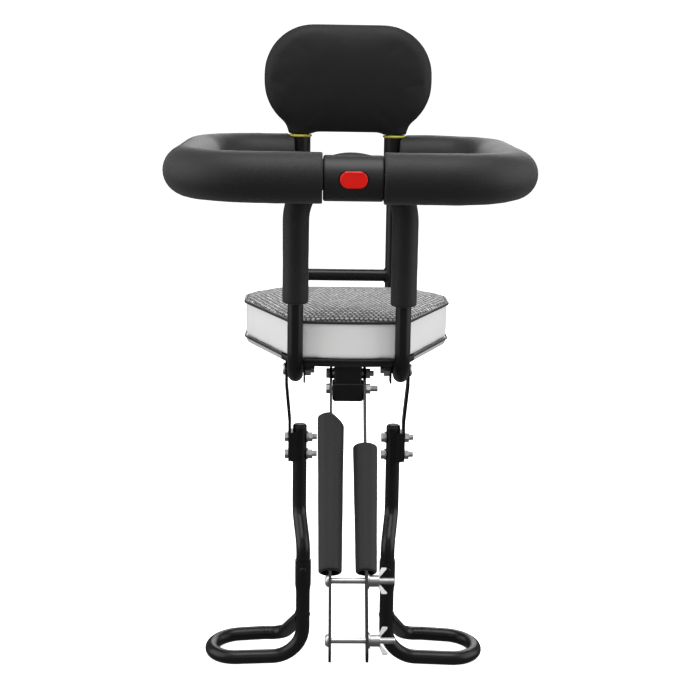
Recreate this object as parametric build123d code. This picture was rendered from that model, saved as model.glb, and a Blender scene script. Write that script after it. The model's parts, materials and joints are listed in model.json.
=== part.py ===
from build123d import *
from math import cos, radians, sin
import os

# Child's bike seat with guard ring, footrests and a frame clamp. Units: mm.
# Origin: middle of the clamp gap. +X is the right of a viewer who faces the seat,
# +Y runs from the front of the seat to its back, +Z is up.
os.makedirs("parts", exist_ok=True)

# Clearances
RUN = 0.05
LOOSE = 0.3
FREE = 0.25
SNUG = 0.1

# Clamp arms: two flat bars that lean forward as they go down
ARM_LEAN = 40.0
ARM_GAP = 34.4
ARM_THICK = 2.8
ARM_WIDTH = 18.0
ARM_REACH = 270.0
ARM_OVERRUN = 22.0
CLAMP_BOLT_PITCH = 62.0
LOCK_BOLT_STEP = 19.0
SLEEVE_D_LEFT = 29.0
SLEEVE_D_RIGHT = 26.5
SLEEVE_TOP_LEFT = 54.0
SLEEVE_TOP_RIGHT = 89.0
SLEEVE_TAPER = 0.84
FOAM_GRIP = 0.5

# Bracket channels that join the arms to the seat
CHANNEL_THICK = 2.6
CHANNEL_CORNER = 3.0
FOOT_WALL = 1.6
FOOT_ROLL = 1.3
CHANNEL_LEAD = 10.0
CHANNEL_TRAIL = 16.0
CHANNEL_FOOT = 12.0
CHANNEL_STEP = 2.0
CHANNEL_CROWN = 8.0
SPACER_D = 12.0
TILT_TAIL = 9.0
LOCK_TAIL = 13.0

# Frame tubes
TUBE_D = 17.0
RAIL_HALF = 58.0
RAIL_DROP = 0.6
FRAME_BEND = 30.0
FRAME_JOINT_Y = 300.0
FRONT_POST_Y = 139.3
BACK_POST_Y = 381.3
HOOP_TOP_Z = 437.8
BACK_TOP_Z = 566.0
BACK_BEND = 45.0
CROSSBAR_D = 15.0
CROSSBAR_Z = 286.0
HOOP_FOAM_D = 28.0
HOOP_FOAM_LEFT_Z = 291.2
HOOP_FOAM_RIGHT_Z = 289.3

# Seat
STRAP_THICK = 3.5
STRAP_WIDTH = 30.0
STRAP_HALF = 64.0
FRONT_STRAP_Y = 186.0
REAR_STRAP_Y = 332.0
PAN_THICK = 7.0
PAN_FRONT_Y = 159.5
PAN_BACK_Y = 361.5
CUSHION_BAND = 43.5
CUSHION_CROWN = 4.5
CUSHION_BOW = 5.0
CUSHION_NOSE_BEND = 12.0
CUSHION_WING_BEND = 26.0
CUSHION_FRONT_Y = 152.0
CUSHION_BACK_Y = 368.5
CUSHION_NOSE_HALF = 63.0
CUSHION_WING_HALF = 119.5
CUSHION_WING_FRONT_Y = 278.0
CUSHION_WING_BACK_Y = 326.0
CUSHION_TAIL_HALF = 84.0
PAN_INSET = 1.5
PAN_RIM = 3.5
PIPING = 3.0
PIPING_PROUD = 1.2

# Backrest
PAD_WIDTH = 204.0
PAD_BOTTOM_Z = 462.5
PAD_TOP_Z = 591.0
PAD_CORNER = 60.0
PAD_DEPTH = 42.0
PAD_EDGE = 15.0
COLLAR_D = 28.0
TRIM_D = 29.4
TRIM_HEIGHT = 2.8
COLLAR_DROP = 3.0

# Guard ring
RING_WIDTH = 402.0
RING_FRONT_Y = 96.3
RING_Z = 428.0
RING_RISE = 6.0
RING_FOAM_D = 52.5
RING_CORNER_FRONT = 76.0
RING_CORNER_BACK = 70.0
SLEEVE_WALL = 4.4
SLEEVE_BELOW = 25.0
STOP_HEIGHT = 6.0
FOAM_MOUTH = 6.0

# Clasp
CLASP_LEFT_X = -30.0
CLASP_RIGHT_X = 32.0
CLASP_D = 47.0
CLASP_LIP = 2.5
CLASP_BORE_DEEP = 13.0
CLASP_SEAM = 0.6
TONGUE_LONG = 16.0
TONGUE_HIGH = 18.0
TONGUE_THICK = 5.5
TONGUE_FLANGE_D = 30.0
TONGUE_FLANGE = 1.4
SOCKET_FRONT = 5.0
SOCKET_BACK = 9.0
BUTTON_LONG = 28.0
BUTTON_HIGH = 17.0
BUTTON_X = 1.0
BUTTON_PROUD = 1.0
BUTTON_DEEP = 10.0
BUTTON_TRAVEL = 4.0
BEZEL = 1.6
BEZEL_DEEP = 1.5

# Footrests
HANGER_Y = 190.0
HANGER_WIDTH = 18.0
HANGER_THICK = 3.0
PEG_D = 16.0
PEG_X = 53.0
PEG_TOP_Z = 140.0
PEG_BOLT_HIGH_Z = 129.0
PEG_BOLT_LOW_Z = 109.0
HANGER_END = 9.0
HANGER_KINK = 17.0
SADDLE_THICK = 2.0
SADDLE_OVER = 7.0
PEG_BEND_Z = 40.0
PEG_STEP = 30.0
PEG_SHIFT_X = 5.2
PEG_BEND = 24.0
SOCKET_TOP_Z = -7.0
SOCKET_LONG = 29.0
SOCKET_TAPER = 9.0
SOCKET_WALL = 1.0
LOOP_Z = -123.5
LOOP_DIP = 4.0
LOOP_WIDTH = 62.0
LOOP_OUT_X = 162.0
LOOP_BEND = 36.0
LOOP_JOIN_Z = -74.0
LOOP_REAR_X = 94.0
LOOP_TAIL_X = 71.5
LOOP_TAIL_BEND = 20.0
CAP_HIGH = 4.0
CAP_DOME = 3.0
BACKING_THICK = 2.0
PLATE_DROP = 14.0
PIVOT_TAIL = 4.0
PIVOT_HEAD = 2.4
PIVOT_HEAD_D = 14.0
PEG_TAIL = 5.0
PEG_WASHER_D = 13.0
SNAP_D = 7.0
SNAP_PROUD = 1.6
SNAP_DEEP = 6.0
SNAP_TRAVEL = 2.5
SNAP_DROP = 10.0

# Fasteners
M6 = 6.0
M6_FLATS = 10.0
M6_HEAD = 4.0
M6_NUT = 5.0
M8 = 8.0
M8_FLATS = 13.0
M8_NUT = 6.5
WASHER = 1.6
WASHER_D = 16.0
CARRIAGE_HEAD_D = 13.0
CARRIAGE_HEAD = 3.6
CLAMP_BOLT_TAIL = 27.0
WING_HUB_D = 12.0
WING_HUB = 10.0
WING_SPAN = 28.0
WING_LONG = 9.0
WING_THICK = 2.4

# Derived positions
lean_y = sin(radians(ARM_LEAN))
lean_z = cos(radians(ARM_LEAN))
tube_r = TUBE_D / 2
tilt_y = ARM_REACH * lean_y
tilt_z = ARM_REACH * lean_z
rail_z = tilt_z + RAIL_DROP
strap_z = rail_z + tube_r
pan_z = strap_z + STRAP_THICK
cushion_z = pan_z + PAN_THICK
seam_z = cushion_z + CUSHION_BAND
arm_in = ARM_GAP / 2
arm_out = arm_in + ARM_THICK
inner_out = arm_in - FOOT_WALL - 2 * LOOSE
lock_y = tilt_y - LOCK_BOLT_STEP * lean_y
lock_z = tilt_z - LOCK_BOLT_STEP * lean_z
inner_front = lock_y - CHANNEL_LEAD
ring_half = (RING_WIDTH - RING_FOAM_D) / 2
ring_back_z = RING_Z + RING_RISE
collar_z = PAD_BOTTOM_Z - COLLAR_DROP
trim_z = collar_z - TRIM_HEIGHT
sleeve_r = tube_r + RUN + SLEEVE_WALL
clasp_front_y = RING_FRONT_Y - CLASP_D / 2
hanger_in = RAIL_HALF + tube_r + LOOSE
hanger_low_in = PEG_X + PEG_D / 2 + SADDLE_THICK


def save(shape, name):
    shape.label = name
    export_step(shape, f"parts/{name}.step")


def bent_path(points, bends):
    # Straight runs joined by round bends, one bend per inner point.
    pts = [Vector(*p) for p in points]
    edges = []
    start = pts[0]
    for before, corner, after, bend in zip(pts, pts[1:], pts[2:], bends):
        to_back = (before - corner).normalized()
        to_next = (after - corner).normalized()
        half = radians(to_back.get_angle(to_next)) / 2
        cut = bend * cos(half) / sin(half)
        first = corner + to_back * cut
        last = corner + to_next * cut
        inward = (to_back + to_next).normalized()
        middle = corner + inward * (bend / sin(half) - bend)
        if (first - start).length > 1e-6:
            edges.append(Line(start, first))
        edges.append(ThreePointArc(first, middle, last))
        start = last
    if (pts[-1] - start).length > 1e-6:
        edges.append(Line(start, pts[-1]))
    return Wire(edges)


def rod(path, diameter, bore=0.0):
    face = Circle(diameter / 2)
    if bore:
        face -= Circle(bore / 2)
    return sweep(Plane(origin=path @ 0, z_dir=path % 0) * face, path=path)


def x_rod(x0, x1, y, z, diameter):
    return Pos((x0 + x1) / 2, y, z) * Rot(0, 90, 0) * Cylinder(diameter / 2, x1 - x0)


def y_rod(y0, y1, x, z, diameter):
    return Pos(x, (y0 + y1) / 2, z) * Rot(90, 0, 0) * Cylinder(diameter / 2, y1 - y0)


def z_rod(z0, z1, x, y, diameter):
    return Pos(x, y, (z0 + z1) / 2) * Cylinder(diameter / 2, z1 - z0)


def span(x0, x1, y0, y1, z0, z1):
    return Pos((x0 + x1) / 2, (y0 + y1) / 2, (z0 + z1) / 2) * Box(x1 - x0, y1 - y0, z1 - z0)


def hexagon(x0, high, y, z, flats):
    # Six-sided prism along X with two flats level.
    face = Plane(origin=(x0, y, z), x_dir=(0, 1, 0), z_dir=(1, 0, 0))
    return extrude(face * RegularPolygon(flats / 2, 6, major_radius=False), high)


def bolt(x0, long, y, z, size, flats, head):
    # Hex bolt whose head bears at x0 and whose shank points to +X.
    return hexagon(x0 - head, head, y, z, flats) + x_rod(x0, x0 + long, y, z, size)


def nut(x0, high, y, z, size, flats):
    return hexagon(x0, high, y, z, flats) - x_rod(x0 - 1, x0 + high + 1, y, z, size + 2 * SNUG)


def washer(x0, y, z, size, across):
    return x_rod(x0, x0 + WASHER, y, z, across) - x_rod(x0 - 1, x0 + WASHER + 1, y, z, size + 2 * SNUG)


def mirrored(shape, side):
    return shape if side > 0 else mirror(shape, Plane.YZ)


SIDES = (("left", -1), ("right", 1))

# Front frame: two seat rails that rise into one inverted hoop
post_top = HOOP_TOP_Z - RAIL_HALF
hoop_left = bent_path(
    [
        (-RAIL_HALF, FRAME_JOINT_Y, rail_z),
        (-RAIL_HALF, FRONT_POST_Y, rail_z),
        (-RAIL_HALF, FRONT_POST_Y, post_top),
    ],
    [FRAME_BEND],
)
hoop_right = bent_path(
    [
        (RAIL_HALF, FRONT_POST_Y, post_top),
        (RAIL_HALF, FRONT_POST_Y, rail_z),
        (RAIL_HALF, FRAME_JOINT_Y, rail_z),
    ],
    [FRAME_BEND],
)
arch = ThreePointArc(
    (-RAIL_HALF, FRONT_POST_Y, post_top),
    (0, FRONT_POST_Y, HOOP_TOP_Z),
    (RAIL_HALF, FRONT_POST_Y, post_top),
)
front_path = Wire(hoop_left.edges() + [arch] + hoop_right.edges())
front_frame = rod(front_path, TUBE_D)
for side in (-1, 1):
    front_frame -= x_rod(
        side * RAIL_HALF - TUBE_D, side * RAIL_HALF + TUBE_D, HANGER_Y, rail_z, M8 + 2 * SNUG
    )
save(front_frame, "front_frame")

foam_path = Wire(
    [
        Line((-RAIL_HALF, FRONT_POST_Y, HOOP_FOAM_LEFT_Z), (-RAIL_HALF, FRONT_POST_Y, post_top)),
        arch,
        Line((RAIL_HALF, FRONT_POST_Y, post_top), (RAIL_HALF, FRONT_POST_Y, HOOP_FOAM_RIGHT_Z)),
    ]
)
save(rod(foam_path, HOOP_FOAM_D, TUBE_D + 2 * SNUG), "hoop_foam")

# Rear frame: carries on from the rails, rises behind the seat and loops inside the backrest
rear_path = bent_path(
    [
        (-RAIL_HALF, FRAME_JOINT_Y, rail_z),
        (-RAIL_HALF, BACK_POST_Y, rail_z),
        (-RAIL_HALF, BACK_POST_Y, BACK_TOP_Z),
        (RAIL_HALF, BACK_POST_Y, BACK_TOP_Z),
        (RAIL_HALF, BACK_POST_Y, rail_z),
        (RAIL_HALF, FRAME_JOINT_Y, rail_z),
    ],
    [FRAME_BEND, BACK_BEND, BACK_BEND, FRAME_BEND],
)
save(rod(rear_path, TUBE_D), "rear_frame")

crossbar = x_rod(-RAIL_HALF, RAIL_HALF, BACK_POST_Y, CROSSBAR_Z, CROSSBAR_D)
for side in (-1, 1):
    crossbar -= z_rod(
        CROSSBAR_Z - TUBE_D, CROSSBAR_Z + TUBE_D, side * RAIL_HALF, BACK_POST_Y, TUBE_D + 2 * RUN
    )
save(crossbar, "back_crossbar")

for name, y in (("front_strap", FRONT_STRAP_Y), ("rear_strap", REAR_STRAP_Y)):
    half = STRAP_WIDTH / 2
    strap = span(-STRAP_HALF, STRAP_HALF, y - half, y + half, strap_z, pan_z)
    if name == "front_strap":
        strap += span(-inner_out, inner_out, inner_front, y, strap_z, pan_z)
    save(strap, name)

# Seat pan, cushion and the piping round the cushion's top edge
plan = [
    (CUSHION_NOSE_HALF, CUSHION_FRONT_Y),
    (CUSHION_WING_HALF, CUSHION_WING_FRONT_Y),
    (CUSHION_WING_HALF, CUSHION_WING_BACK_Y),
    (CUSHION_TAIL_HALF, CUSHION_BACK_Y),
]
plan += [(-x, y) for x, y in reversed(plan)]
front_edge = ThreePointArc(plan[-1], (0, CUSHION_FRONT_Y - CUSHION_BOW), plan[0])
outline = make_face(Polyline(plan) + front_edge)
outline = fillet(outline.vertices().sort_by(Axis.Y)[:2], CUSHION_NOSE_BEND)
outline = fillet(outline.vertices().sort_by(Axis.Y)[4:], CUSHION_WING_BEND)
cushion = extrude(Pos(0, 0, cushion_z) * outline, CUSHION_BAND + CUSHION_CROWN)
cushion = fillet(cushion.faces().sort_by(Axis.Z)[-1].edges(), CUSHION_CROWN)
save(cushion, "seat_cushion")

# The pan fills the cushion's plan, cut back where the four posts bend into the rails
pan_mid = (PAN_FRONT_Y + PAN_BACK_Y) / 2
pan_half = RAIL_HALF - tube_r - PAN_INSET
room = Pos(0, pan_mid) * Rectangle(RING_WIDTH, PAN_BACK_Y - PAN_FRONT_Y)
room += Pos(0, pan_mid) * Rectangle(2 * pan_half, RING_WIDTH)
pan = extrude(Pos(0, 0, pan_z) * (offset(outline, -PAN_INSET) & room), PAN_THICK)
rim = pan.faces().sort_by(Axis.Z)[0].edges().filter_by(lambda e: abs(e.center().X) > RAIL_HALF + TUBE_D)
save(fillet(rim, PAN_RIM), "seat_pan")

belt = offset(outline, PIPING_PROUD) - offset(outline, LOOSE)
save(extrude(Pos(0, 0, seam_z - PIPING) * belt, PIPING), "cushion_piping")

# Backrest: a padded cover drawn over the rear loop, with a bound edge round each post
pad_mid = (PAD_BOTTOM_Z + PAD_TOP_Z) / 2
pad_plane = Plane(origin=(0, BACK_POST_Y + PAD_DEPTH / 2, pad_mid), x_dir=(1, 0, 0), z_dir=(0, -1, 0))
pad = extrude(pad_plane * RectangleRounded(PAD_WIDTH, PAD_TOP_Z - PAD_BOTTOM_Z, PAD_CORNER), PAD_DEPTH)
pad = fillet(pad.faces().sort_by(Axis.Y)[0].edges() + pad.faces().sort_by(Axis.Y)[-1].edges(), PAD_EDGE)
for side in (-1, 1):
    pad += z_rod(collar_z, PAD_BOTTOM_Z + PAD_EDGE, side * RAIL_HALF, BACK_POST_Y, COLLAR_D)
pad -= rod(rear_path, TUBE_D + 2 * FREE)
save(pad, "backrest_pad")

trims = []
stops = []
for side in (-1, 1):
    post_x = side * RAIL_HALF
    trim = z_rod(trim_z, collar_z, post_x, BACK_POST_Y, TRIM_D)
    trims.append(trim - z_rod(trim_z - 1, collar_z + 1, post_x, BACK_POST_Y, TUBE_D + 2 * FREE))
    high = RING_Z - SLEEVE_BELOW - LOOSE
    stop = z_rod(high - STOP_HEIGHT, high, post_x, BACK_POST_Y, 2 * sleeve_r)
    stops.append(stop - z_rod(high - STOP_HEIGHT - 1, high + 1, post_x, BACK_POST_Y, TUBE_D + 2 * RUN))
save(Compound(children=trims), "cover_trims")
save(Compound(children=stops), "stop_rings")

# Guard ring halves: a tube welded to a sleeve that turns on the back post
tongue_x = CLASP_LEFT_X - CLASP_SEAM
ends = {"left": (-(tongue_x - TONGUE_FLANGE), -(tongue_x - TONGUE_FLANGE)),
        "right": (CLASP_RIGHT_X - CLASP_BORE_DEEP + LOOSE, CLASP_RIGHT_X + CLASP_SEAM)}
for name, side in SIDES:
    tube_end, foam_end = ends[name]
    corners = [(ring_half, BACK_POST_Y, ring_back_z), (ring_half, RING_FRONT_Y, RING_Z)]
    bends = [RING_CORNER_BACK, RING_CORNER_FRONT]
    weld_x = RAIL_HALF + sleeve_r - SLEEVE_WALL / 2
    start = (weld_x, BACK_POST_Y, ring_back_z)
    rail = rod(bent_path([start] + corners + [(tube_end, RING_FRONT_Y, RING_Z)], bends), TUBE_D)
    sleeve_low = RING_Z - SLEEVE_BELOW
    sleeve_high = trim_z - LOOSE
    rail += z_rod(sleeve_low, sleeve_high, RAIL_HALF, BACK_POST_Y, 2 * sleeve_r)
    rail -= z_rod(sleeve_low - 1, sleeve_high + 1, RAIL_HALF, BACK_POST_Y, TUBE_D + 2 * RUN)
    save(mirrored(rail, side), f"{name}_rail_tube")
    start = (RAIL_HALF + FOAM_MOUTH, BACK_POST_Y, ring_back_z)
    foam_path = bent_path([start] + corners + [(foam_end, RING_FRONT_Y, RING_Z)], bends)
    rail_foam = rod(foam_path, RING_FOAM_D, TUBE_D + 2 * FREE)
    rail_foam -= z_rod(sleeve_low, sleeve_high + TUBE_D, RAIL_HALF, BACK_POST_Y, TRIM_D + 2 * LOOSE)
    save(mirrored(rail_foam, side), f"{name}_rail_foam")

# Clasp on the right half, tongue on the left half, push button in the clasp
clasp = x_rod(CLASP_LEFT_X, CLASP_RIGHT_X, RING_FRONT_Y, RING_Z, CLASP_D)
clasp = fillet(clasp.edges().filter_by(GeomType.CIRCLE), CLASP_LIP)
bore_x = CLASP_RIGHT_X - CLASP_BORE_DEEP
clasp -= x_rod(bore_x, CLASP_RIGHT_X + 1, RING_FRONT_Y, RING_Z, TUBE_D + 2 * SNUG)
tongue_front = RING_FRONT_Y - TONGUE_THICK / 2
tongue_back = RING_FRONT_Y + TONGUE_THICK / 2
tongue_tip = CLASP_LEFT_X + TONGUE_LONG
tongue_low = RING_Z - TONGUE_HIGH / 2
tongue_high = RING_Z + TONGUE_HIGH / 2
clasp -= span(
    CLASP_LEFT_X - 1, tongue_tip + CLASP_SEAM,
    tongue_front - SOCKET_FRONT, tongue_back + SOCKET_BACK,
    tongue_low - CLASP_SEAM, tongue_high + CLASP_SEAM,
)
button_front = clasp_front_y - BUTTON_PROUD
button_back = button_front + BUTTON_DEEP
button_plane = Plane(origin=(BUTTON_X, button_back, RING_Z), x_dir=(1, 0, 0), z_dir=(0, -1, 0))
button = extrude(button_plane * SlotOverall(BUTTON_LONG, BUTTON_HIGH), BUTTON_DEEP)
button = fillet(button.faces().sort_by(Axis.Y)[0].edges(), BUTTON_PROUD)
save(button, "release_button")
pocket_plane = Plane(
    origin=(BUTTON_X, button_back + BUTTON_TRAVEL + LOOSE, RING_Z), x_dir=(1, 0, 0), z_dir=(0, -1, 0)
)
grown = 2 * LOOSE
pocket_deep = BUTTON_DEEP + BUTTON_TRAVEL + CLASP_LIP
clasp -= extrude(pocket_plane * SlotOverall(BUTTON_LONG + grown, BUTTON_HIGH + grown), pocket_deep)
bezel_plane = Plane(
    origin=(BUTTON_X, clasp_front_y + BEZEL_DEEP, RING_Z), x_dir=(1, 0, 0), z_dir=(0, -1, 0)
)
clasp -= extrude(bezel_plane * SlotOverall(BUTTON_LONG + 2 * BEZEL, BUTTON_HIGH + 2 * BEZEL), BEZEL_DEEP + 1)
save(clasp, "clasp_body")

tongue = x_rod(tongue_x - TONGUE_FLANGE, tongue_x, RING_FRONT_Y, RING_Z, TONGUE_FLANGE_D)
tongue += span(tongue_x, tongue_tip, tongue_front, tongue_back, tongue_low, tongue_high)
save(tongue, "clasp_tongue")

# Clamp bracket: an inner channel under the front strap, an outer channel round its foot
outer_out = arm_in - LOOSE
foot_z = lock_z - CHANNEL_FOOT


def channel(half, front, back, low, high, wall):
    shape = span(-half, half, front, back, low, high)
    shape = fillet(shape.edges().filter_by(Axis.Y).sort_by(Axis.Z)[:2], CHANNEL_CORNER)
    shape = fillet(shape.edges().filter_by(Axis.Z).sort_by(Axis.Y)[:2], wall)
    inside = half - wall
    return shape - span(-inside, inside, front + wall, back + 1, low - 1, high + 1)


def bolt_hole(y, z, size=M6):
    return x_rod(-RING_WIDTH, RING_WIDTH, y, z, size + 2 * SNUG)


outer_front = inner_front - FOOT_WALL - LOOSE
bracket = channel(
    inner_out, inner_front, tilt_y + CHANNEL_TRAIL, foot_z + CHANNEL_STEP, strap_z, CHANNEL_THICK
)
bracket -= bolt_hole(tilt_y, tilt_z)
bracket -= bolt_hole(lock_y, lock_z)
save(bracket, "seat_bracket")
foot = channel(outer_out, outer_front, lock_y + CHANNEL_LEAD, foot_z, lock_z + CHANNEL_CROWN, FOOT_WALL)
foot = fillet(foot.edges().filter_by(Axis.X).group_by(Axis.Y)[0].sort_by(Axis.Z)[-1], FOOT_ROLL)
save(foot - bolt_hole(lock_y, lock_z), "foot_channel")

spacers = []
for x in (-arm_in + LOOSE / 2, inner_out + LOOSE / 2):
    long = arm_in - inner_out - LOOSE
    ring = x_rod(x, x + long, tilt_y, tilt_z, SPACER_D) - bolt_hole(tilt_y, tilt_z)
    spacers.append(ring)
save(Compound(children=spacers), "tilt_spacers")

# Clamp arms, their foam sleeves, and the cross bolts with wing nuts
lean = Rot(-ARM_LEAN, 0, 0)
half_pitch = CLAMP_BOLT_PITCH / 2
arm_low = -half_pitch - ARM_OVERRUN
arm_high = ARM_REACH + ARM_WIDTH / 2
slot_long = ARM_THICK + 2 * FOAM_GRIP
for name, side, across, top in (
    ("left", -1, SLEEVE_D_LEFT, SLEEVE_TOP_LEFT),
    ("right", 1, SLEEVE_D_RIGHT, SLEEVE_TOP_RIGHT),
):
    arm_mid = side * (arm_in + arm_out) / 2
    arm_centre = (arm_mid - ARM_THICK / 2, 0, (arm_low + arm_high) / 2)
    face = Plane(origin=arm_centre, x_dir=(0, 0, 1), z_dir=(1, 0, 0))
    arm = extrude(face * SlotOverall(arm_high - arm_low, ARM_WIDTH), ARM_THICK)
    for z in (-half_pitch, half_pitch, ARM_REACH - LOCK_BOLT_STEP, ARM_REACH):
        arm -= x_rod(arm_mid - ARM_THICK, arm_mid + ARM_THICK, 0, z, M6 + 2 * SNUG)
    save(lean * arm, f"{name}_clamp_arm")
    foam_low = half_pitch + WASHER_D / 2 + FOAM_GRIP
    foam_high = ARM_REACH - top
    sleeve = Pos(arm_mid, 0, (foam_low + foam_high) / 2) * Cone(
        across * SLEEVE_TAPER / 2, across / 2, foam_high - foam_low
    )
    sleeve -= Pos(arm_mid, 0, (foam_low + foam_high) / 2) * Box(
        slot_long, ARM_WIDTH + 2 * FOAM_GRIP, foam_high - foam_low + 2
    )
    save(lean * sleeve, f"{name}_arm_sleeve")

clamp_washers = []
for name, place in (("upper", half_pitch), ("lower", -half_pitch)):
    y = place * lean_y
    z = place * lean_z
    head = x_rod(-arm_out - CARRIAGE_HEAD, -arm_out, y, z, CARRIAGE_HEAD_D)
    head = fillet(head.edges().sort_by(Axis.X)[0], CARRIAGE_HEAD - SNUG)
    save(head + x_rod(-arm_out, arm_out + CLAMP_BOLT_TAIL, y, z, M6), f"{name}_clamp_bolt")
    clamp_washers.append(washer(arm_out, y, z, M6, WASHER_D))
    hub_x = arm_out + WASHER + LOOSE
    wing = hub_x + WING_HUB
    root_r = WING_HUB_D / 2 - WING_THICK
    tip_r = WING_SPAN / 2
    nut_body = x_rod(hub_x, wing, 0, 0, WING_HUB_D)
    for up in (-1, 1):
        profile = [
            (wing - WING_THICK, up * root_r),
            (wing, up * root_r),
            (wing + WING_LONG, up * tip_r),
            (wing + WING_LONG / 4, up * tip_r),
        ]
        ear = make_face(Polyline(profile, close=True))
        tips = ear.vertices().sort_by(lambda v: -abs(v.Y))[:2]
        ear = fillet(tips, WING_THICK / 2)
        nut_body += extrude(Plane.XZ.offset(-WING_THICK / 2) * ear, WING_THICK)
    nut_body -= x_rod(hub_x - 1, wing + WING_LONG, 0, 0, M6 + 2 * RUN)
    save(Pos(0, y, z) * lean * nut_body, f"{name}_wing_nut")
save(Compound(children=clamp_washers), "clamp_washers")

# Bracket bolts
bracket_nuts = []
for name, y, z, tail in (("tilt", tilt_y, tilt_z, TILT_TAIL), ("lock", lock_y, lock_z, LOCK_TAIL)):
    save(bolt(-arm_out, 2 * arm_out + tail, y, z, M6, M6_FLATS, M6_HEAD), f"{name}_bolt")
    bracket_nuts.append(nut(arm_out, M6_NUT, y, z, M6, M6_FLATS))
save(Compound(children=bracket_nuts), "bracket_nuts")

# Footrests
foot_x = PEG_X - PEG_SHIFT_X
foot_y = HANGER_Y - PEG_STEP
socket_low = SOCKET_TOP_Z - SOCKET_LONG
socket_d = PEG_D + 2 * SNUG + 2 * SOCKET_WALL
snap_z = SOCKET_TOP_Z - SNAP_DROP
snap_front = foot_y - socket_d / 2 - SNAP_PROUD
snap_back = snap_front + SNAP_DEEP
snap_hole = y_rod(snap_front - 1, snap_back + SNAP_TRAVEL + LOOSE, foot_x, snap_z, SNAP_D + 2 * RUN)
hanger_out = hanger_in + HANGER_THICK
hanger_low_out = hanger_low_in + HANGER_THICK
plate_in = RAIL_HALF - tube_r - SNUG
bolt_x = hanger_out + LOOSE
pivot_bolts = []
pivot_nuts = []
for name, side in SIDES:
    bend_line = [(rail_z + HANGER_WIDTH, hanger_in), (rail_z - HANGER_KINK, hanger_in),
                 (PEG_TOP_Z + HANGER_END, hanger_low_in), (PEG_BOLT_LOW_Z - HANGER_WIDTH, hanger_low_in)]
    profile = [(x, z) for z, x in bend_line] + [(x + HANGER_THICK, z) for z, x in reversed(bend_line)]
    bar = Pos(0, HANGER_Y + HANGER_WIDTH / 2, 0) * extrude(
        Plane.XZ * make_face(Polyline(profile, close=True)), HANGER_WIDTH
    )
    lower_z = PEG_BOLT_LOW_Z
    half = HANGER_WIDTH / 2
    flat = span(0, RING_WIDTH, HANGER_Y - half, HANGER_Y + half, lower_z, rail_z)
    flat += x_rod(0, RING_WIDTH, HANGER_Y, lower_z, HANGER_WIDTH)
    flat += x_rod(0, RING_WIDTH, HANGER_Y, rail_z, HANGER_WIDTH)
    hanger = (bar & flat) - bolt_hole(HANGER_Y, rail_z, M8 - 2 * SNUG + 2 * RUN)
    saddle = span(
        PEG_X + SADDLE_THICK, hanger_low_in, HANGER_Y - half, HANGER_Y + half,
        PEG_BOLT_LOW_Z - SADDLE_OVER, PEG_BOLT_HIGH_Z + SADDLE_OVER,
    )
    saddle -= z_rod(PEG_BEND_Z, PEG_TOP_Z + PEG_D, PEG_X, HANGER_Y, PEG_D + 2 * SNUG)
    peg_path = bent_path(
        [
            (PEG_X, HANGER_Y, PEG_TOP_Z),
            (PEG_X, HANGER_Y, PEG_BEND_Z),
            (foot_x, foot_y, PEG_BEND_Z - PEG_STEP),
            (foot_x, foot_y, socket_low + LOOSE),
        ],
        [PEG_BEND, PEG_BEND],
    )
    peg = rod(peg_path, PEG_D) - snap_hole
    for z in (PEG_BOLT_HIGH_Z, PEG_BOLT_LOW_Z):
        hole = bolt_hole(HANGER_Y, z)
        hanger -= hole
        saddle -= hole
        peg -= hole
    save(mirrored(hanger, side), f"{name}_hanger")
    save(mirrored(saddle, side), f"{name}_saddle")
    save(mirrored(peg, side), f"{name}_peg_tube")
    cap = z_rod(PEG_TOP_Z, PEG_TOP_Z + CAP_HIGH, PEG_X, HANGER_Y, PEG_D)
    cap = fillet(cap.edges().sort_by(Axis.Z)[-1], CAP_DOME)
    save(mirrored(cap, side), f"{name}_tube_cap")

    plate = span(
        plate_in - BACKING_THICK, plate_in,
        HANGER_Y - half, HANGER_Y + half,
        rail_z - PLATE_DROP, rail_z + tube_r - SNUG,
    )
    save(mirrored(plate - bolt_hole(HANGER_Y, rail_z, M8), side), f"{name}_backing_plate")
    inner_x = plate_in - BACKING_THICK
    pivot = x_rod(-bolt_x - PIVOT_HEAD, -bolt_x, HANGER_Y, rail_z, PIVOT_HEAD_D)
    pivot = fillet(pivot.edges().sort_by(Axis.X)[0], PIVOT_HEAD - SNUG)
    pivot += x_rod(-bolt_x, M8_NUT + PIVOT_TAIL - inner_x, HANGER_Y, rail_z, M8)
    pivot_bolts.append(mirrored(pivot, -side))
    pivot_nuts.append(mirrored(nut(-inner_x, M8_NUT, HANGER_Y, rail_z, M8, M8_FLATS), -side))

    # Both footrests use bolts that point the same way, so the stack is turned over
    grip = hanger_low_out - PEG_X + PEG_D / 2
    head_x = -hanger_low_out if side < 0 else PEG_X - PEG_D / 2 - WASHER
    nut_x = -PEG_X + PEG_D / 2 + WASHER if side < 0 else hanger_low_out
    washer_x = -PEG_X + PEG_D / 2 if side < 0 else head_x
    long = grip + WASHER + M6_NUT + PEG_TAIL
    heights = (PEG_BOLT_HIGH_Z, PEG_BOLT_LOW_Z)
    bolts = [bolt(head_x, long, HANGER_Y, z, M6, M6_FLATS, M6_HEAD) for z in heights]
    nuts = [nut(nut_x, M6_NUT, HANGER_Y, z, M6, M6_FLATS) for z in heights]
    rings = [washer(washer_x, HANGER_Y, z, M6, PEG_WASHER_D) for z in heights]
    save(Compound(children=bolts), f"{name}_peg_bolts")
    save(Compound(children=nuts), f"{name}_peg_nuts")
    save(Compound(children=rings), f"{name}_peg_washers")

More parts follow.
